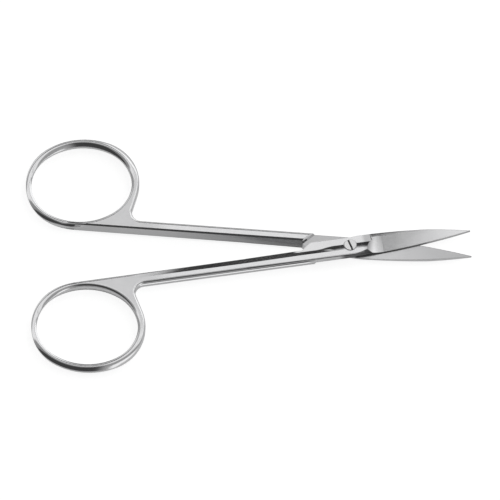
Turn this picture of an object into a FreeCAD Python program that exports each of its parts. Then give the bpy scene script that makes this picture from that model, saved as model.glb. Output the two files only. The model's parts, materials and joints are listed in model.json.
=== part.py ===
import FreeCAD, Part
import math
import os

# Straight iris scissors with finger rings and a slotted pivot screw, in millimetres.
# The scissors lie flat, blades partly open: +Z is up, the origin is on the pivot axis
# at the resting plane, and +X runs between the blades towards their tips.
# Both halves are the same forging, turned over about its long axis. One half is
# modelled as it lies closed, with the lap plane at height 0 and its own joint below it.
# Its own face is the outer one, at the bottom, and the far face looks to the other half.

V = FreeCAD.Vector

# Overall
tip_reach = 31.1            # pivot to blade tip
closing_angle = 13.0        # total turn from the rest pose to closed blades
lap_clearance = 0.03        # between the two lap faces

# Finger ring
ring_x = -69.76             # ring bore centre, measured on the closed half
ring_y = 12.37
ring_bore_length = 25.8
ring_bore_width = 21.9
ring_turn = 10.5            # long axis of the ring against the closing line
ring_wall_end = 1.35        # wall at the far end
ring_wall_neck = 1.93       # wall at the shank end
ring_wall_outer = 1.67
ring_wall_inner = 1.6
ring_fullness = 1.1         # end arcs against the end radius of an ellipse
ring_roundness = 0.75       # how near the end arcs may come to half the width
grip_thickness = 2.7        # ring, web and shank
edge_radius = 0.75          # outer edges of ring, web and shank
bore_chamfer = 0.42

# Web and shank
neck_x = -56.3              # narrowest point of the neck between ring and web
neck_y = 5.6
web_radius = 2.5            # hollow corner between ring and shank
shank_outer = 2.9           # outer side of the shank from the closing line
shank_inner = -0.45         # inner side at the joint, on the half's own face
shank_end = -7.9            # where the grip's outline ends inside the joint
wedge_ring = 0.8            # how far the sloping inner wall sets back at the ring
wedge_joint = 1.12          # and at the joint
wall_foot = 0.35            # where the sloping wall starts above the half's own face
facet_inset = 0.3           # polished facet where the sloping wall meets the far face
facet_angle = 35.0
crease = 1.15               # where the shallow bevel of the own face starts
bevel_start = -57.0
bevel_end = -3.0
bevel_drop = 0.35           # how far the bevel has fallen at the shank's inner side

# Lap joint
joint_height = 1.7          # lap plane to the highest part of the outer face
joint_back = -2.5           # back edge of the joint
joint_edge_radius = 0.45
crown_drop = 0.95           # how far the outer face falls towards the back edge
back_drop = 1.2             # how far the joint's back corner has fallen at the shoulder
joint_start = -27.0         # where the joint starts to rise out of the shank
joint_full = -13.0          # where it has its full height
shoulder_x = -12.3          # where the shoulder meets the closing line at the lap plane
shoulder_angle = 44.0       # shoulder against the closing line
shoulder_slope = 0.45       # how far the shoulder leans back over the grip's half height
shoulder_clearance = 0.12

# Blade
blade_root = 6.2            # start of the cutting edge
blade_root_front = 2.95
blade_heel = 3.0            # widest point of the back
blade_heel_back = -2.85
blade_middle = 19.0
blade_middle_back = -1.88
blade_middle_front = 1.9
tip_half_width = 0.09
heel_lead = 4.0             # where the back starts to swell, before its widest point
heel_run = 1.6              # length of the smooth run at either end of that swelling
root_run = 3.0              # length of the smooth run into the cutting edge
root_turn = 0.18            # how far the outline still falls in its last third
scoop_turn = 0.58           # the same for the hollow, as a share of its depth
ramp_start = 4.6            # the rounded step from the joint to the ground face
ramp_radius = 9.0
ground_root = 0.92          # blade thickness behind the ramp, on the closing line
ground_tip = 0.4
ground_rise = 0.16          # how far the ground face bows outwards along its length
ground_slope = 0.15         # fall of the ground face towards the cutting edge
edge_land = 0.05
edge_bevel_angle = 74.0     # cutting bevel against the lap plane
scoop_start = -1.6          # hollow ground into the joint's side before the cutting edge
scoop_height = 1.0          # lap plane to the foot of the hollow
scoop_depth = 1.4           # how far it has cut in at the blade's root

# Pivot screw
head_radius = 1.6
head_rise = 0.06            # top of the head above the joint's outer face
head_depth = 0.5            # depth of its seat below the outer face
head_chamfer = 0.14
head_gap = 0.06
slot_width = 0.5
slot_depth = 0.45
slot_angle = -70.0
bearing_radius = 1.15
thread_radius = 0.95
pivot_clearance = 0.03

half_grip = grip_thickness / 2
cover = 3.0                 # how far a cutter reaches past what it cuts
beyond = 4 * tip_reach      # past the length of a half


def turned(point, degrees):
    """A plan point turned about the origin."""
    a = math.radians(degrees)
    x, y = point
    return (x * math.cos(a) - y * math.sin(a), x * math.sin(a) + y * math.cos(a))


def added(first, second):
    return (first[0] + second[0], first[1] + second[1])


def on_circle(centre, radius, degrees):
    return added(centre, turned((radius, 0), degrees))


def line(first, second):
    return Part.LineSegment(first, second).toShape()


def arc_edge(centre, radius, start, end, height):
    """A level arc between two directions in degrees, anticlockwise."""
    points = [on_circle(centre, radius, a) for a in (start, (start + end) / 2, end)]
    return Part.Arc(*[V(x, y, height) for x, y in points]).toShape()


def oval_arcs(centre, length, width):
    """The four tangent arcs of an oval at the ring's slant: (centre, radius, start, end)."""
    a, b = length / 2, width / 2
    pointed = b * b / a
    end_radius = min(ring_fullness * pointed, pointed + ring_roundness * (b - pointed))
    side_radius = (a * a + b * b - 2 * a * end_radius) / (2 * (b - end_radius))
    end_shift, side_shift = a - end_radius, side_radius - b
    split = math.degrees(math.atan2(abs(side_shift), abs(end_shift)))
    arcs = []
    for shift, radius, start, end in (
        ((end_shift, 0), end_radius, -split, split),
        ((0, -side_shift), side_radius, split, 180 - split),
        ((-end_shift, 0), end_radius, 180 - split, 180 + split),
        ((0, side_shift), side_radius, 180 + split, 360 - split),
    ):
        arcs.append((added(centre, turned(shift, ring_turn)), radius, start + ring_turn, end + ring_turn))
    return arcs


def touch_direction(point, centre, radius, side):
    """Direction from a circle's centre to where a line from an outside point touches it."""
    x, y = point[0] - centre[0], point[1] - centre[1]
    return math.degrees(math.atan2(y, x) + side * math.acos(radius / math.hypot(x, y)))


# The ring's outline has its own centre, so that each wall gets its own thickness.
ring_centre = (ring_x, ring_y)
outer_centre = added(ring_centre, turned(
    ((ring_wall_neck - ring_wall_end) / 2, (ring_wall_outer - ring_wall_inner) / 2), ring_turn
))
outer_arcs = oval_arcs(
    outer_centre,
    ring_bore_length + ring_wall_end + ring_wall_neck,
    ring_bore_width + ring_wall_outer + ring_wall_inner,
)
neck_arc, top_arc, end_arc, inner_arc = outer_arcs
neck_touch = touch_direction((neck_x, neck_y), neck_arc[0], neck_arc[1], 1)
ring_touch = touch_direction((shank_end, shank_inner), inner_arc[0], inner_arc[1], -1)
ring_low = on_circle(inner_arc[0], inner_arc[1], ring_touch)


def inner_side(x):
    """The shank's inner side on its own face: a line that touches the ring."""
    share = (x - ring_low[0]) / (shank_end - ring_low[0])
    return ring_low[1] + share * (shank_inner - ring_low[1])


def wedge(x):
    """How far the sloping inner wall sets back over its height."""
    share = (x - ring_x) / (shank_end - ring_x)
    return wedge_ring + share * (wedge_joint - wedge_ring)


def loft_wedge(sections):
    """A ruled block through cross-sections given as (x, [(y, z), ...])."""
    wires = []
    for x, points in sections:
        corners = [V(x, y, z) for y, z in points]
        wires.append(Part.makePolygon(corners + [corners[0]]))
    return Part.makeLoft(wires, True, True)


def grip():
    """Ring, web and shank as one flat pad with rounded edges."""
    base = -half_grip
    neck_top = on_circle(neck_arc[0], neck_arc[1], neck_touch)
    reach = math.hypot(neck_top[0] - neck_x, neck_top[1] - neck_y)
    run = ((neck_x - neck_top[0]) / reach, (neck_y - neck_top[1]) / reach)
    across = (-run[1], run[0])
    along = (neck_top[1] + web_radius * across[1] - shank_outer - web_radius) / -run[1]
    web_top = (neck_top[0] + along * run[0], neck_top[1] + along * run[1])
    web_centre = (web_top[0] + web_radius * across[0], web_top[1] + web_radius * across[1])
    web_start = math.degrees(math.atan2(-across[1], -across[0]))

    def side(first, second):
        return line(V(*first, base), V(*second, base))

    outline = [
        side((shank_end, shank_outer), (web_centre[0], shank_outer)),
        arc_edge(web_centre, web_radius, web_start % 360, 270, base),
        side(web_top, neck_top),
        arc_edge(neck_arc[0], neck_arc[1], neck_touch, neck_arc[3], base),
        arc_edge(*top_arc, base),
        arc_edge(*end_arc, base),
        arc_edge(inner_arc[0], inner_arc[1], inner_arc[2], ring_touch + 360, base),
        side(ring_low, (shank_end, shank_inner)),
        side((shank_end, shank_inner), (shank_end, shank_outer)),
    ]
    pad = Part.Face(Part.Wire(Part.__sortEdges__(outline))).extrude(V(0, 0, grip_thickness))
    rims = []
    for edge in pad.Edges:
        box = edge.BoundBox
        if box.ZLength < 1e-6 and box.XMin < shank_end - 1e-3:
            rims.append(edge)
    pad = pad.makeFillet(edge_radius, rims)
    bore_edges = [arc_edge(*arc, base) for arc in oval_arcs(ring_centre, ring_bore_length, ring_bore_width)]
    bore = Part.Face(Part.Wire(bore_edges)).extrude(V(0, 0, grip_thickness))
    pad = pad.cut(bore)
    mouths = []
    for edge in pad.Edges:
        middle = edge.valueAt((edge.FirstParameter + edge.LastParameter) / 2)
        if abs(abs(middle.z) - half_grip) < 1e-4 and bore.distToShape(Part.Vertex(middle))[0] < 1e-4:
            mouths.append(edge)
    return pad.makeChamfer(bore_chamfer, mouths)


def sloping_wall():
    """What is ground off the inner side between the own face and the far face."""
    foot = -half_grip + wall_foot
    top = half_grip + cover
    lean = (top - foot) / (half_grip - foot)
    sections = []
    for x in (ring_x - ring_bore_length, shank_end + cover):
        y = inner_side(x)
        slanted = y + wedge(x) * lean
        sections.append((x, [(y, foot), (slanted, top), (y - cover, top), (y - cover, foot)]))
    return loft_wedge(sections)


def far_facet():
    """What is polished off the edge between the sloping wall and the far face."""
    tilt = math.tan(math.radians(facet_angle))
    sections = []
    for x in (ring_x - ring_bore_length, shank_end + cover):
        start = inner_side(x) + wedge(x) + facet_inset
        sections.append((x, [
            (start + cover, half_grip + cover * tilt),
            (start - cover, half_grip + cover * tilt),
            (start - cover, half_grip - cover * tilt),
        ]))
    return loft_wedge(sections)


def own_bevel():
    """The shallow bevel of the own face: it twists in along the shank, rises with the joint
    and fades into the joint's crown. At the shoulder it also takes down the back corner."""
    slant = bevel_drop / (crease - shank_inner)
    back = blade_heel_back - lap_clearance
    sections = []
    for x, share, height in (
        (bevel_start, 0, half_grip), (joint_start, 1, half_grip),
        (joint_full, 1, joint_height), (bevel_end, 0, joint_height),
    ):
        sections.append((x, [
            (crease, -height),
            (shank_inner, -height + share * slant * (crease - shank_inner)),
            (back, -height + share * back_drop),
            (back, -height - cover),
            (crease, -height - cover),
        ]))
    return loft_wedge(sections)


def own_layer():
    """Where the joint may rise out of the shank's own face before the shoulder."""
    foot_rise = edge_radius - wall_foot
    rounded_off = edge_radius - math.sqrt(edge_radius ** 2 - foot_rise ** 2)
    floor = -joint_height - cover
    sections = []
    for x in (joint_start, shank_end):
        corner = inner_side(x) + rounded_off
        sections.append((x, [
            (corner, -half_grip + wall_foot), (crease, -lap_clearance), (shank_outer + cover, -lap_clearance),
            (shank_outer + cover, floor), (corner, floor),
        ]))
    return loft_wedge(sections)


def shoulder_block(offset, top):
    """Everything in front of the leaning shoulder, from the lap plane up to a height."""
    a = math.radians(shoulder_angle)
    along = V(math.cos(a), math.sin(a), 0) * beyond
    ahead = V(math.sin(a), -math.cos(a), 0)
    outlines = []
    for z in (-lap_clearance / 2, top):
        lean = -shoulder_slope * z / half_grip
        foot = V(shoulder_x + offset / math.sin(a), 0, z) + ahead * lean
        ends = [foot - along, foot + along, foot + along + ahead * beyond, foot - along + ahead * beyond]
        outlines.append(Part.makePolygon(ends + [ends[0]]))
    return Part.makeLoft(outlines, True, True)


def flipped(shape):
    """A copy turned over about the long axis."""
    copy = shape.copy()
    copy.rotate(V(0, 0, 0), V(1, 0, 0), 180)
    return copy


def edge_side(height, inset, scoop):
    """The joint's front side and the cutting edge at a height, set back by bevel and hollow."""
    straight = (scoop_start, shank_outer)
    root = (blade_root, blade_root_front - inset - scoop)
    middle = (blade_middle, blade_middle_front - inset)
    tip = (tip_reach, tip_half_width - inset)
    run = Part.BSplineCurve()
    run.buildFromPoles([
        V(*straight, height), V(scoop_start + root_run, shank_outer, height),
        V(blade_root - root_run, root[1] + root_turn + scoop_turn * scoop, height), V(*root, height),
    ])
    return [run.toShape(), Part.Arc(V(*root, height), V(*middle, height), V(*tip, height)).toShape()]


def joint_and_blade():
    """The half's own side of the lap: the joint cheek and the blade."""
    base = -joint_height

    def at(x, y):
        return V(x, y, base)

    start_front, start_back = at(joint_start, shank_outer), at(joint_start, joint_back)
    heel, back_tip = at(blade_heel, blade_heel_back), at(tip_reach, -tip_half_width)
    back_end = at(blade_heel - heel_lead, joint_back)
    back_run = Part.BSplineCurve()
    back_run.buildFromPoles([back_end, back_end + V(heel_run, 0, 0), heel - V(heel_run, 0, 0), heel])
    run, cutting = edge_side(base, 0, 0)
    outline = [
        line(start_front, start_back), line(start_back, back_end), back_run.toShape(),
        Part.Arc(heel, at(blade_middle, blade_middle_back), back_tip).toShape(),
        line(back_tip, at(tip_reach, tip_half_width)), cutting, run,
        line(at(scoop_start, shank_outer), start_front),
    ]
    blank = Part.Face(Part.Wire(Part.__sortEdges__(outline)))
    blank = blank.extrude(V(0, 0, joint_height - lap_clearance / 2))
    return blank.common(crown()).cut(grinding()).cut(edge_bevel())


def edge_bevel():
    """What is ground off in front of the cutting edge and, as a hollow, of the joint's side."""
    wires = []
    steepness = scoop_depth / (joint_height - scoop_height)
    top = joint_height + cover / 4
    for height, scoop in ((edge_land, 0), (scoop_height, 0), (top, (top - scoop_height) * steepness)):
        inset = (height - edge_land) / math.tan(math.radians(edge_bevel_angle))
        run, cutting = edge_side(-height, inset, scoop)
        end = cutting.valueAt(cutting.LastParameter)
        corners = [
            end, V(tip_reach + cover, -cover, -height), V(tip_reach + cover, shank_outer + cover, -height),
            V(scoop_start, shank_outer + cover, -height), V(scoop_start, shank_outer, -height),
        ]
        rest = [line(a, b) for a, b in zip(corners, corners[1:])]
        wires.append(Part.Wire([run, cutting] + rest))
    return Part.makeLoft(wires, True, True)


def crown_section(x, top, r):
    """Cross-section of the joint: an edge radius, a flat strip and a fall to the back."""
    back_y = blade_heel_back - lap_clearance
    fall = crown_drop * ((crease - back_y) / (crease - joint_back)) ** 2

    def at(y, z):
        return V(x, y, z)

    rounded = on_circle((shank_outer - r, -top + r), r, -45)
    front, strip = at(shank_outer, -top + r), at(shank_outer - r, -top)
    start, slope, back = at(crease, -top), at((crease + back_y) / 2, -top + fall / 4), at(back_y, -top + fall)
    return Part.Wire([
        line(at(shank_outer, cover), front),
        Part.Arc(front, at(*rounded), strip).toShape(),
        line(strip, start),
        Part.Arc(start, slope, back).toShape(),
        line(back, at(back_y, cover)),
        line(at(back_y, cover), at(shank_outer, cover)),
    ])


def crown():
    """The joint's outer face: it rises out of the shank and runs on over the blade."""
    full = crown_section(joint_full, joint_height, joint_edge_radius)
    rise = Part.makeLoft([crown_section(joint_start, half_grip, edge_radius), full], True, True)
    return rise.fuse(Part.Face(full).extrude(V(tip_reach - joint_full + cover, 0, 0)))


def grinding():
    """The wheel that grinds the blade's outer face, with the rounded step at the joint."""
    drop = joint_height - ground_root
    turn = math.acos(1 - (drop + cover / 4) / ramp_radius)
    foot_x = ramp_start + ramp_radius * math.sin(math.acos(1 - drop / ramp_radius))

    def on_ramp(angle):
        return V(foot_x - ramp_radius * math.sin(angle), 0, -ground_root - ramp_radius * (1 - math.cos(angle)))

    start, foot, end = on_ramp(turn), on_ramp(0), V(tip_reach + cover, 0, -ground_tip)
    middle = (foot + end) / 2 - V(0, 0, ground_rise)
    floor = -joint_height - cover
    corners = [end, V(end.x, 0, floor), V(start.x, 0, floor), start]
    edges = [Part.Arc(start, on_ramp(turn / 2), foot).toShape(), Part.Arc(foot, middle, end).toShape()]
    edges += [line(a, b) for a, b in zip(corners, corners[1:])]
    shape = Part.Face(Part.Wire(edges)).extrude(V(0, 2 * cover + 2 * shank_outer, 0))
    shape.translate(V(0, -cover - shank_outer, 0))
    shear = FreeCAD.Matrix()
    shear.A32 = ground_slope
    return shape.transformGeometry(shear)


def half():
    """One closed half: grip, shoulder, joint cheek and blade, without its screw hole."""
    handle = grip().cut(sloping_wall()).cut(far_facet())
    handle = handle.cut(shoulder_block(0, half_grip + cover))
    lap = joint_and_blade()
    cheek = lap.common(flipped(shoulder_block(shoulder_clearance, joint_height + cover)))
    swell = lap.common(own_layer())
    return handle.fuse([cheek, swell]).cut(own_bevel()).removeSplitter()


def cylinder(radius, low, high):
    """An upright cylinder on the pivot axis between two heights."""
    return Part.makeCylinder(radius, high - low, V(0, 0, low))


def lower_half(blank):
    """The half that holds the screw's thread."""
    return blank.cut(cylinder(thread_radius, -joint_height - cover, cover))


def upper_half(blank):
    """The half that turns on the screw's bearing and seats its head."""
    top = joint_height + cover
    shape = flipped(blank).cut(cylinder(bearing_radius + pivot_clearance, -cover, top))
    return shape.cut(cylinder(head_radius + head_gap, joint_height - head_depth, top))


def pivot_screw():
    """Slotted screw: thread below the lap plane, bearing through the upper half, raised head."""
    seat = joint_height - head_depth + lap_clearance / 2
    top = joint_height + head_rise
    thread = cylinder(thread_radius, -joint_height, 0)
    bearing = cylinder(bearing_radius, -lap_clearance / 2, seat)
    head = cylinder(head_radius, seat, top)
    rim = [e for e in head.Edges if e.isClosed() and abs(e.CenterOfMass.z - top) < 1e-6]
    head = head.makeChamfer(head_chamfer, rim)
    slot = Part.makeBox(2 * beyond, slot_width, cover, V(-beyond, -slot_width / 2, top - slot_depth))
    slot.rotate(V(0, 0, 0), V(0, 0, 1), slot_angle)
    return thread.fuse(bearing).fuse(head).cut(slot).removeSplitter()


def placed(shape, degrees):
    """A half or screw turned to the rest pose and lifted so that the joint rests at 0."""
    copy = shape.copy()
    copy.rotate(V(0, 0, 0), V(0, 0, 1), degrees)
    copy.translate(V(0, 0, joint_height))
    return copy


blank = half()
parts = {
    "lower_half": placed(lower_half(blank), -closing_angle / 2),
    "upper_half": placed(upper_half(blank), closing_angle / 2),
    "pivot_screw": placed(pivot_screw(), 0),
}

os.makedirs("parts", exist_ok=True)
for name, shape in parts.items():
    shape.exportStep(f"parts/{name}.step")
    box = shape.optimalBoundingBox(False)
    print(name, "solids", len(shape.Solids), "valid", shape.isValid(), "volume", round(shape.Volume, 1))
    print("  x", round(box.XMin, 2), round(box.XMax, 2), "y", round(box.YMin, 2), round(box.YMax, 2),
          "z", round(box.ZMin, 2), round(box.ZMax, 2))
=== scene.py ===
import bpy
import json
import math
from mathutils import Matrix, Vector

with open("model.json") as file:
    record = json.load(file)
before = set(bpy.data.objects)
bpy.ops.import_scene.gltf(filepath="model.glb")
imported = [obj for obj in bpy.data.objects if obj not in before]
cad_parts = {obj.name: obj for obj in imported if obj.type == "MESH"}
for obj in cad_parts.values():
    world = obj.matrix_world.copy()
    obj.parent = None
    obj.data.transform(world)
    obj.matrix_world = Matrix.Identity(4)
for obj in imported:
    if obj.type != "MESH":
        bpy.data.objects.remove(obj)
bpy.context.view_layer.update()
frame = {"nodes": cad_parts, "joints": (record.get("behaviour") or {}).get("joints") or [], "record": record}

# Camera, fitted to the ring bores, the blade tips and the screw head in the photograph
AZIMUTH = math.radians(-4.86)       # from the -Y side, turned about +Z
ELEVATION = math.radians(63.7)
ROLL = math.radians(2.63)
DISTANCE = 2.5
PIXEL = 0.2554e-3                   # metres on one pixel at the aim point
IMAGE_SIDE = 500
AIM = Vector((-0.020, 0.0, 0.0017))
AIM_PIXEL = (271.9, 250.0)
SENSOR = 36.0
CLIP = (0.1, 30)

# Floor: one surface for the steel's reflections, another for the camera
FLOOR_HALF = 6.0
FLOOR_DROP = 0.00002                # under the scissors' lowest faces
FLOOR_ALBEDO = 0.6
FLOOR_BOUNCE = 0.3                  # glow added to that in the steel's reflections
SHADOW_SHARE = 0.42                 # what the camera sees as lit surface, which shows the shadow
FLOOR_GLOW = 0.82                   # and as glow, which doesn't

# Studio around the object: soft-edged panels on a grey surround. Each panel has a range of
# height angle in the YZ plane (0 at +Y, 90 overhead, 180 at -Y), a range of sideways
# direction (X of the unit vector), soft edges and a brightness. A later panel covers an
# earlier one. Level faces show the camera what is at 64 degrees, and faces that lean 10
# degrees towards it what is at 84.
SURROUND = 0.4
PANELS = [
    {"height": (60, 77), "side": (-0.9, 0.95), "soft": (2.0, 0.15), "level": 1.05},
    {"height": (79, 103), "side": (-0.9, 0.95), "soft": (2.0, 0.15), "level": 0.33},
    {"height": (79, 103), "side": (0.12, 0.95), "soft": (2.0, 0.045), "level": 1.0},
    {"height": (106, 160), "side": (-1.2, 0.22), "soft": (3.0, 0.12), "level": 0.06},
    {"height": (4, 56), "side": (0.22, 0.85), "soft": (3.0, 0.06), "level": 1.3},
    {"height": (4, 44), "side": (-0.7, -0.22), "soft": (5.0, 0.06), "level": 0.85},
    {"height": (-20, 16), "side": (-0.2, 0.2), "soft": (2.0, 0.05), "level": 0.1},
    {"height": (18, 34), "side": (-0.2, 0.2), "soft": (1.5, 0.05), "level": 1.0},
    {"height": (35.5, 56), "side": (-0.2, 0.2), "soft": (1.5, 0.05), "level": 0.04},
    {"height": (150, 186), "side": (0.42, 0.95), "soft": (3.0, 0.08), "level": 1.2},
]

# Places from the frame. The joint's lower limit closes the blades, with both halves on one line.
CLOSED = frame["joints"][0]["range_deg"][0]
MOUNTS = {mount["name"]: mount["pos_m"] for mount in frame["record"]["mounts"]}
HALF_TURN = math.radians(-CLOSED / 2)       # from the closed line to each half at rest
LAP_HEIGHT = MOUNTS["finger_ring"][2]
RING_CENTRE = Matrix.Rotation(HALF_TURN, 2) @ Vector(MOUNTS["finger_ring"][:2])

# Steel
LAP_CLEARANCE = 0.00003
POLISH = 0.13                       # roughness of polished and of satin steel
SATIN = 0.3
STEEL_LIGHT = (0.75, 0.75, 0.755)
STEEL_DARK = (0.67, 0.67, 0.68)
CLOUD_SIZE = 260.0                  # noise scale of the slow change between them
LINE_STRETCH = (900, 9000, 9000)    # noise scale of the fine lines, which run along x
LINE_ROUGHNESS = 0.025
LINE_BUMP = {"Strength": 0.03, "Distance": 0.00002}
NOISE_MIDDLE = (0.3, 0.7)           # part of a noise that is spread over its whole effect
FLAT_UP = (0.985, 0.997)            # share of up or down in the normal of a flat
WEB_SATIN = (-0.044, -0.053)        # x where the satin flat of the web begins
WEB_SHADE = 1.06                    # tone of the web's satin flat
LAP_SHADE = 0.86                    # tone of the faces on the lap plane
EDGE_WIDTH = 0.00028                # fine line of painted shade on every edge outside the rings
EDGE_BEND = (0.985, 0.8)            # cosine between the face and the rounded edge
EDGE_PAINTED_SHADE = 0.42

# Rounded section of the ring bands, in the plan of a half turned back to the closed line.
# Pairs of cosines are of the angle from the web's direction, seen from the ring's centre.
RING_TURN = math.radians(10.5)
RING_AXES = (0.0137, 0.0118)        # half length and half width of the band's middle line
RING_BAND = 0.064                   # half the band, as a share of those
RING_END = (1.8, 1.3)               # outer end of the rounding, in half bands
RING_INSIDE = (1.0, 0.98)           # share of the middle line inside which the web has no part
RING_HALF_HEIGHT = 0.00135
RING_LIFT = 0.9                     # how far the round of the band is carried down its sides
LIFT_FADE = (0.7, -0.1)             # cosines over which that begins
WEB_TURN = math.radians(-51.0)      # direction of the web from the ring's centre
WEB_FADE = (0.84, 0.3)              # cosines over which the outer round of the band begins
EDGE_FADE = (0.3, 0.72)             # cosines over which the outer round gets steeper
EDGE_POWER = 3.5                    # how steep it gets

# Normals of the areas that follow, in the same plan
UPWARDS = (0.0, 0.0, 1.0)
TOWARDS_DARK_PANEL = (0.0, -0.6, 0.8)
TOWARDS_LOW_PANEL = (0.4, -0.685, 0.61)     # shows the last panel to the camera

# Areas of a half with a tone or a normal of their own. Each is a list of soft edges: a
# measure, its value where the area has ended and where it is full, and in a tone the tones
# at both. The measures are x, y and z in metres, with the half turned back to the closed
# line and y positive on the shank's outer side and the blade's cutting edge, and ahead, lean
# and up, which are the parts of the face's normal along them.

# Upper half: the joint's flank, lighter than the dark band beside it. Its border is given by
# two places on x and by its y there, and past_line is y past that border.
FLANK_LINE = (-0.009, -0.004, 0.00024, -0.0003)
FLANK = [
    ("past_line", 0.00015, -0.00015), ("x", -0.017, -0.013), ("x", 0.0058, 0.0054),
    ("ahead", 0.1, 0.05), ("up", 0.35, 0.5),
]
# Upper half: the shank's outer wall, rounded towards its top
OUTER_WALL = [("lean", 0.8, 0.95), ("x", -0.006, -0.012)]
WALL_BRIGHT = [("z", LAP_HEIGHT + 0.0001, LAP_HEIGHT + 0.0003)]
WALL_DARK = [("z", LAP_HEIGHT + 0.0007, LAP_HEIGHT + 0.0008)]
# Upper half: the scoop with the ground face, with a painted reflection that is lighter and darker along
# them, and the side under them, darkened with painted shade
GROUND = [("up", 0.8, 0.9), ("ahead", -0.01, 0.01), ("x", 0.003, 0.0042)]
GROUND_PAINTED_REFLECTION = [
    ("along", 0.0045, 0.0066, 0.4, 1.0), ("x", 0.0068, 0.0086, 1.0, 0.7),
    ("x", 0.0080, 0.0087, 1.0, 1.7), ("x", 0.012, 0.026, 1.0, 1.15),
    ("y", -0.003, 0.0025, 0.92, 1.08),
]
GROUND_SLANT = 0.3                  # along is x plus this share of y
GROUND_LIMIT = 1.28                 # caps the painted reflection, which keeps the steel's colour under 1
SIDE_FACE = [("lean", 0.35, 0.55), ("x", -0.0035, -0.0015)]
SIDE_PAINTED_SHADE = [("x", 0.007, 0.024, 0.2, 0.75)]
# Lower half: the shank's inner wall, darkened towards the joint with painted shade, the shoulder, with its
# own normal and painted shade, and the blade's lap face, with a painted reflection that goes from lighter at
# its root to darker at the tip
INNER_WALL = [("lean", -0.8, -0.95), ("x", -0.002, -0.006)]
INNER_WALL_PAINTED_SHADE = [("x", -0.055, -0.014, 0.8, 0.3)]
SHOULDER = [
    ("ahead", 0.35, 0.45), ("x", -0.016, -0.0145), ("x", -0.007, -0.0085),
    ("z", LAP_HEIGHT + 0.00005, LAP_HEIGHT + 0.00015),
]
SHOULDER_PAINTED_SHADE = 0.65
BLADE = [("x", 0.004, 0.006)]
BLADE_PAINTED_REFLECTION = [("x", 0.006, 0.031, 1.2, 0.95)]

# Screw, with painted shade in its slot
SLOT_TURN = math.radians(-70.0)
SLOT_HALF = 0.00025
SLOT_EDGE = (1.02, 0.9)             # share of the half width over which the slot begins
SLOT_PAINTED_SHADE = 0.12
SLOT_ROUGHNESS = 0.45
HEAD_SHADE = (0.66, 0.74)           # between the turning marks
HEAD_ROUGHNESS = 0.16
TURNING_SIZE = 14000.0              # noise scale of the turning marks
TURNING_ROUGHNESS = 0.03
TURNING_BUMP = {"Strength": 0.05, "Distance": 0.00002}


class Nodes:
    """A short way to add nodes to a tree and link them."""

    def __init__(self, tree):
        self.tree = tree
        tree.nodes.clear()

    def add(self, kind, inputs=None, **settings):
        node = self.tree.nodes.new(kind)
        for key, value in settings.items():
            setattr(node, key, value)
        for key, value in (inputs or {}).items():
            if isinstance(value, bpy.types.NodeSocket):
                self.tree.links.new(value, node.inputs[key])
            else:
                node.inputs[key].default_value = value
        return node

    def math(self, operation, *values):
        return self.add("ShaderNodeMath", dict(enumerate(values)), operation=operation).outputs[0]

    def vector(self, operation, *values, output="Vector"):
        inputs = dict(enumerate(values))
        return self.add("ShaderNodeVectorMath", inputs, operation=operation).outputs[output]

    def times(self, *values):
        product = values[0]
        for value in values[1:]:
            product = self.math("MULTIPLY", product, value)
        return product

    def split(self, vector):
        return self.add("ShaderNodeSeparateXYZ", {"Vector": vector}).outputs

    def mix(self, factor, first, second):
        """Vector between the first, at a factor of 0, and the second."""
        inputs = {"Factor": factor, 4: first, 5: second}
        return self.add("ShaderNodeMix", inputs, data_type="VECTOR").outputs[1]

    def ramp(self, value, low, high, start=0.0, end=1.0):
        return self.add(
            "ShaderNodeMapRange",
            {"Value": value, "From Min": low, "From Max": high, "To Min": start, "To Max": end},
            interpolation_type="SMOOTHSTEP",
        ).outputs["Result"]

    def edged(self, measures, edges):
        """Product of soft edges: the mask of an area, or a tone."""
        return self.times(*(self.ramp(measures[name], *ends) for name, *ends in edges))

    def toned(self, mask, tone):
        """The tone where the mask is 1, and 1 where it is 0."""
        return self.math("MULTIPLY_ADD", mask, self.math("SUBTRACT", tone, 1), 1)

    def converted(self, vector, origin, target):
        return self.add("ShaderNodeVectorTransform", {"Vector": vector}, vector_type="NORMAL",
                        convert_from=origin, convert_to=target).outputs[0]

    def turned(self, vector, angle):
        """Direction turned about Z in the piece's own axes."""
        return self.add("ShaderNodeMapping", {"Vector": vector, "Rotation": (0, 0, angle)},
                        vector_type="VECTOR").outputs[0]


def new_material(name):
    """Material with an empty node tree."""
    material = bpy.data.materials.new(name)
    material.use_nodes = True
    return material, Nodes(material.node_tree)


def make_studio():
    """World light: grey surround with soft panels."""
    world = bpy.data.worlds.new("studio")
    bpy.context.scene.world = world
    world.use_nodes = True
    n = Nodes(world.node_tree)
    direction = n.split(n.add("ShaderNodeTexCoord").outputs["Generated"])
    side = direction["X"]
    height = n.math("DEGREES", n.math("ARCTAN2", direction["Z"], direction["Y"]))
    level = SURROUND
    for panel in PANELS:
        soft_height, soft_side = panel["soft"]
        edges = []
        for value, (low, high), soft in (
            (height, panel["height"], soft_height), (side, panel["side"], soft_side)
        ):
            edges.append(n.ramp(value, low - soft, low + soft))
            edges.append(n.ramp(value, high + soft, high - soft))
        gain = n.math("SUBTRACT", panel["level"], level)
        level = n.math("MULTIPLY_ADD", n.times(*edges), gain, level)
    shade = n.add("ShaderNodeBackground", {"Strength": level, "Color": (1, 1, 1, 1)})
    n.add("ShaderNodeOutputWorld", {"Surface": shade.outputs[0]})


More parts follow.
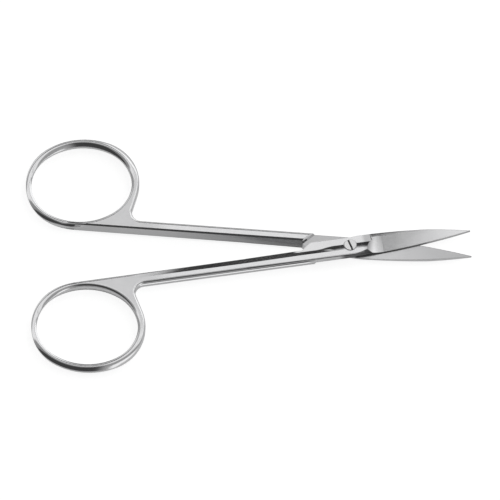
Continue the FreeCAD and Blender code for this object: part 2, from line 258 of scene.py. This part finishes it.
def make_floor():
    """Plain pale floor: white to the camera, with the object's soft shadow kept."""
    mesh = bpy.data.meshes.new("floor")
    corners = [
        (x * FLOOR_HALF, y * FLOOR_HALF, -FLOOR_DROP)
        for x, y in ((-1, -1), (1, -1), (1, 1), (-1, 1))
    ]
    mesh.from_pydata(corners, [], [(0, 1, 2, 3)])
    floor = bpy.data.objects.new("floor", mesh)
    bpy.context.scene.collection.objects.link(floor)
    material, n = new_material("floor")
    views = []
    for albedo, glow in ((FLOOR_ALBEDO, FLOOR_BOUNCE), (SHADOW_SHARE, FLOOR_GLOW)):
        surface = n.add("ShaderNodeBsdfDiffuse", {"Color": (albedo, albedo, albedo, 1)})
        light = n.add("ShaderNodeEmission", {"Strength": glow})
        both = n.add("ShaderNodeAddShader", {0: surface.outputs[0], 1: light.outputs[0]})
        views.append(both.outputs[0])
    camera_ray = n.add("ShaderNodeLightPath").outputs["Is Camera Ray"]
    chosen = n.add("ShaderNodeMixShader", {0: camera_ray, 1: views[0], 2: views[1]})
    n.add("ShaderNodeOutputMaterial", {"Surface": chosen.outputs[0]})
    mesh.materials.append(material)


def make_camera():
    """Long lens at the photograph's viewing angle."""
    back = Vector((
        math.sin(AZIMUTH) * math.cos(ELEVATION),
        -math.cos(AZIMUTH) * math.cos(ELEVATION),
        math.sin(ELEVATION),
    ))
    level_right = Vector((math.cos(AZIMUTH), math.sin(AZIMUTH), 0))
    level_up = back.cross(level_right)
    right = level_right * math.cos(ROLL) + level_up * math.sin(ROLL)
    up = level_up * math.cos(ROLL) - level_right * math.sin(ROLL)
    shift_right, shift_down = ((IMAGE_SIDE / 2 - pixel) * PIXEL for pixel in AIM_PIXEL)
    centre = AIM + right * shift_right - up * shift_down
    data = bpy.data.cameras.new("camera")
    data.sensor_width = SENSOR
    data.lens = SENSOR * DISTANCE / (IMAGE_SIDE * PIXEL)
    data.clip_start, data.clip_end = CLIP
    camera = bpy.data.objects.new("camera", data)
    turn = Matrix((right, up, back)).transposed().to_4x4()
    camera.matrix_world = Matrix.Translation(centre + back * DISTANCE) @ turn
    bpy.context.scene.collection.objects.link(camera)
    bpy.context.scene.camera = camera


def ring_section(n, plan, z, side):
    """Normal of a rounded ring band, and where it holds: the ring, but not the web."""
    frame_of_ring = {"Rotation": (0, 0, side * RING_TURN), "Scale": (*RING_AXES, 1)}
    centre = (RING_CENTRE[0], side * RING_CENTRE[1], 0)
    around = n.add("ShaderNodeMapping", {"Vector": plan, "Location": centre, **frame_of_ring},
                   vector_type="TEXTURE").outputs[0]
    level = n.vector("MULTIPLY", around, (1, 1, 0))
    outward = n.add("ShaderNodeMapping", {"Vector": level, **frame_of_ring},
                    vector_type="NORMAL").outputs[0]
    reach = n.vector("LENGTH", level, output="Value")
    web = (math.cos(WEB_TURN), side * math.sin(WEB_TURN), 0)
    toward_web = n.math("DIVIDE", n.vector("DOT_PRODUCT", level, web, output="Value"), reach)

    across = n.math("DIVIDE", n.math("SUBTRACT", reach, 1.0), RING_BAND)
    steepness = n.ramp(toward_web, *EDGE_FADE, 1.0, EDGE_POWER)
    outer = n.math("POWER", n.math("MAXIMUM", across, 0.0), steepness)
    tilt = n.math("ADD", n.math("MINIMUM", across, 0.0), outer)
    rise = n.math("DIVIDE", n.math("SUBTRACT", z, LAP_HEIGHT), RING_HALF_HEIGHT)
    waist = n.math("SUBTRACT", 1.0, n.times(rise, rise))
    lift = n.ramp(toward_web, *LIFT_FADE, 0.0, RING_LIFT)
    upright = n.add("ShaderNodeCombineXYZ", {"Z": n.math("MULTIPLY_ADD", waist, lift, rise)})
    total = n.vector("ADD", n.vector("MULTIPLY", outward, tilt), upright.outputs[0])
    normal = n.vector("NORMALIZE", total)

    on_band = n.ramp(reach, *(1 + end * RING_BAND for end in RING_END))
    off_web = n.math("MAXIMUM", n.ramp(toward_web, *WEB_FADE), n.ramp(reach, *RING_INSIDE))
    return normal, n.times(on_band, off_web)


def upper_tones(n, at, normal, shade):
    """Normal and shade with the upper half's own areas: their normals, a painted reflection on the ground
    face and painted shade on the side under it.
    """
    at["past_line"] = n.math("SUBTRACT", at["y"], n.ramp(at["x"], *FLANK_LINE))
    at["along"] = n.math("MULTIPLY_ADD", at["y"], GROUND_SLANT, at["x"])
    normal = n.mix(n.edged(at, FLANK), normal, UPWARDS)
    wall = n.times(n.edged(at, OUTER_WALL), at["off_ring"])
    normal = n.mix(n.times(wall, n.edged(at, WALL_BRIGHT)), normal, TOWARDS_LOW_PANEL)
    normal = n.mix(n.times(wall, n.edged(at, WALL_DARK)), normal, TOWARDS_DARK_PANEL)
    ground_painted_reflection = n.math("MINIMUM", n.edged(at, GROUND_PAINTED_REFLECTION), GROUND_LIMIT)
    return normal, n.times(
        shade,
        n.toned(n.edged(at, GROUND), ground_painted_reflection),
        n.toned(n.edged(at, SIDE_FACE), n.edged(at, SIDE_PAINTED_SHADE)),
    )


def lower_tones(n, at, normal, shade):
    """Normal and shade with the lower half's own areas: the shoulder's normal, painted shade on the inner
    wall and the shoulder, and a painted reflection on the blade's lap face.
    """
    shoulder = n.edged(at, SHOULDER)
    wall = n.times(n.edged(at, INNER_WALL), at["off_ring"])
    blade = n.times(n.edged(at, BLADE), at["lap"])
    return n.mix(shoulder, normal, TOWARDS_LOW_PANEL), n.times(
        shade,
        n.toned(wall, n.edged(at, INNER_WALL_PAINTED_SHADE)),
        n.toned(blade, n.edged(at, BLADE_PAINTED_REFLECTION)),
        n.toned(shoulder, SHOULDER_PAINTED_SHADE),
    )


def steel(name, side, own_tones):
    """Polished stainless steel with fine lines along the piece and satin ground flats.

    The side is 1 for the half with its ring on +Y and -1 for the other.
    """
    material, n = new_material(name)
    turn = -side * HALF_TURN
    place = n.add("ShaderNodeTexCoord").outputs["Object"]
    plan = n.add("ShaderNodeMapping", {"Vector": place, "Rotation": (0, 0, -turn)}).outputs[0]
    x, y, z = n.split(plan)
    true_normal = n.add("ShaderNodeNewGeometry").outputs["Normal"]
    own_normal = n.turned(n.converted(true_normal, "WORLD", "OBJECT"), -turn)
    ahead, lean, up = n.split(own_normal)
    section, on_ring = ring_section(n, plan, z, side)
    off_ring = n.math("SUBTRACT", 1.0, on_ring)
    off_lap = n.math("ABSOLUTE", n.math("SUBTRACT", z, LAP_HEIGHT))
    lap = n.ramp(off_lap, 3 * LAP_CLEARANCE, LAP_CLEARANCE)
    at = {
        "x": x, "y": n.times(y, side), "z": z, "ahead": ahead, "lean": n.times(lean, side),
        "up": up, "off_ring": off_ring, "lap": lap,
    }

    # Polish and satin, with fine lines
    flat = n.ramp(n.math("ABSOLUTE", up), *FLAT_UP)
    web = n.times(n.ramp(x, *WEB_SATIN), off_ring)
    satin = n.times(flat, n.math("MAXIMUM", web, lap))
    drawn = n.add("ShaderNodeMapping", {"Vector": plan, "Scale": LINE_STRETCH}).outputs[0]
    lines = n.add(
        "ShaderNodeTexNoise", {"Vector": drawn, "Scale": 1.0, "Detail": 3.0}
    ).outputs["Fac"]
    rough = n.math(
        "ADD", n.math("MULTIPLY_ADD", satin, SATIN - POLISH, POLISH),
        n.ramp(lines, *NOISE_MIDDLE, -LINE_ROUGHNESS, LINE_ROUGHNESS),
    )

    # Tones, with a fine line of painted shade on the edges
    bevelled = n.add("ShaderNodeBevel", {"Radius": EDGE_WIDTH}, samples=4).outputs[0]
    bend = n.vector("DOT_PRODUCT", bevelled, true_normal, output="Value")
    on_edge = n.times(n.ramp(bend, *EDGE_BEND), off_ring)
    shade = n.times(
        n.toned(n.times(flat, web), WEB_SHADE),
        n.toned(n.times(flat, lap), LAP_SHADE),
        n.ramp(on_edge, 0, 1, 1, EDGE_PAINTED_SHADE),
    )
    normal, shade = own_tones(n, at, n.mix(on_ring, own_normal, section), shade)
    cloud = n.add("ShaderNodeTexNoise", {"Vector": place, "Scale": CLOUD_SIZE, "Detail": 4.0})
    tint = n.add(
        "ShaderNodeMix",
        {"Factor": cloud.outputs["Fac"], "A": (*STEEL_DARK, 1), "B": (*STEEL_LIGHT, 1)},
        data_type="RGBA",
    ).outputs["Result"]

    world_normal = n.converted(n.turned(normal, turn), "OBJECT", "WORLD")
    bump = n.add("ShaderNodeBump", {"Height": lines, "Normal": world_normal, **LINE_BUMP})
    shader = n.add("ShaderNodeBsdfPrincipled", {
        "Base Color": n.vector("MULTIPLY", tint, shade), "Metallic": 1.0, "Roughness": rough,
        "Normal": bump.outputs[0],
    })
    n.add("ShaderNodeOutputMaterial", {"Surface": shader.outputs[0]})
    return material


def screw_steel(name):
    """Turned and polished head, with painted shade darkening the screw slot."""
    material, n = new_material(name)
    place = n.add("ShaderNodeTexCoord").outputs["Object"]
    plan = n.add("ShaderNodeMapping", {"Vector": place, "Rotation": (0, 0, -SLOT_TURN)})
    across = n.math("ABSOLUTE", n.split(plan.outputs[0])["Y"])
    slot = n.ramp(across, *(SLOT_HALF * share for share in SLOT_EDGE))
    radius = n.vector("LENGTH", n.vector("MULTIPLY", place, (1, 1, 0)), output="Value")
    turning = n.add(
        "ShaderNodeTexNoise", {"W": n.times(radius, TURNING_SIZE), "Scale": 1.0, "Detail": 2.0},
        noise_dimensions="1D",
    ).outputs["Fac"]
    shade = n.times(
        n.ramp(slot, 0.0, 1.0, 1.0, SLOT_PAINTED_SHADE), n.ramp(turning, *NOISE_MIDDLE, *HEAD_SHADE)
    )
    rough = n.math(
        "ADD", n.ramp(slot, 0.0, 1.0, HEAD_ROUGHNESS, SLOT_ROUGHNESS),
        n.ramp(turning, *NOISE_MIDDLE, -TURNING_ROUGHNESS, TURNING_ROUGHNESS),
    )
    bump = n.add("ShaderNodeBump", {"Height": turning, **TURNING_BUMP})
    shader = n.add("ShaderNodeBsdfPrincipled", {
        "Base Color": n.add("ShaderNodeCombineColor", {0: shade, 1: shade, 2: shade}).outputs[0],
        "Metallic": 1.0, "Roughness": rough, "Normal": bump.outputs[0],
    })
    n.add("ShaderNodeOutputMaterial", {"Surface": shader.outputs[0]})
    return material


def dress(node, material):
    """Give a piece its one material."""
    mesh = frame["nodes"][node].data
    mesh.materials.clear()
    mesh.materials.append(material)


make_studio()
make_floor()
make_camera()
dress("lower_half", steel("steel_lower", 1, lower_tones))
dress("upper_half", steel("steel_upper", -1, upper_tones))
dress("pivot_screw", screw_steel("steel_screw"))
bpy.context.scene.view_settings.view_transform = "Standard"
